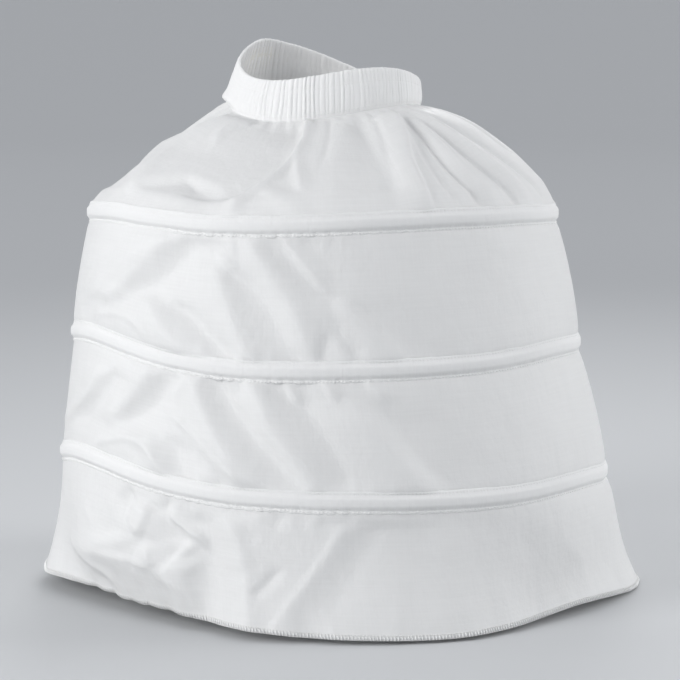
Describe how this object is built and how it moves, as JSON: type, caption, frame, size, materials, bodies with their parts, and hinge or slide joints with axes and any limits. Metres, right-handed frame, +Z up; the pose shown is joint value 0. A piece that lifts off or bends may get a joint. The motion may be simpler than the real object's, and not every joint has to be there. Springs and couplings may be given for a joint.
{
  "type": "hoop petticoat",
  "caption": "White cloth crinoline petticoat with an elastic waist, a puffed yoke, tiers held out by sprung hoops in tape casings, and a flared overlocked hem.",
  "frame": {"origin": "centre of the waist opening, at the mean height of the waistband", "axes": "+Z up out of the waist opening, front of the skirt towards -Y, +X to the right as seen from the front"},
  "size_m": [0.5936, 0.5616, 0.5402],
  "materials": {
    "skirt_cloth": "white plain-woven polyester with a faint satin sheen",
    "casing_tape": "white woven polyester tape",
    "thread": "white polyester sewing thread",
    "elastic": "off-white braided elastic",
    "boning": "flat spring steel with a white plastic coat",
    "joiner_plastic": "milky plastic sleeve"
  },
  "bodies": {
    "root": {"waistband": "skirt_cloth", "waist_elastic": "elastic", "waistband_stitching": "thread", "yoke_panel": "skirt_cloth", "upper_tier_panel": "skirt_cloth", "lower_tier_panel": "skirt_cloth", "hem_flounce": "skirt_cloth", "upper_hoop": "boning", "upper_hoop_joiner": "joiner_plastic", "upper_casing_tape": "casing_tape", "upper_casing_stitching": "thread", "middle_hoop": "boning", "middle_hoop_joiner": "joiner_plastic", "middle_casing_tape": "casing_tape", "middle_casing_stitching": "thread", "lower_hoop": "boning", "lower_hoop_joiner": "joiner_plastic", "lower_casing_tape": "casing_tape", "lower_casing_stitching": "thread", "hem_overlock": "thread", "back_seam_tape": "thread"}
  },
  "joints": []
}
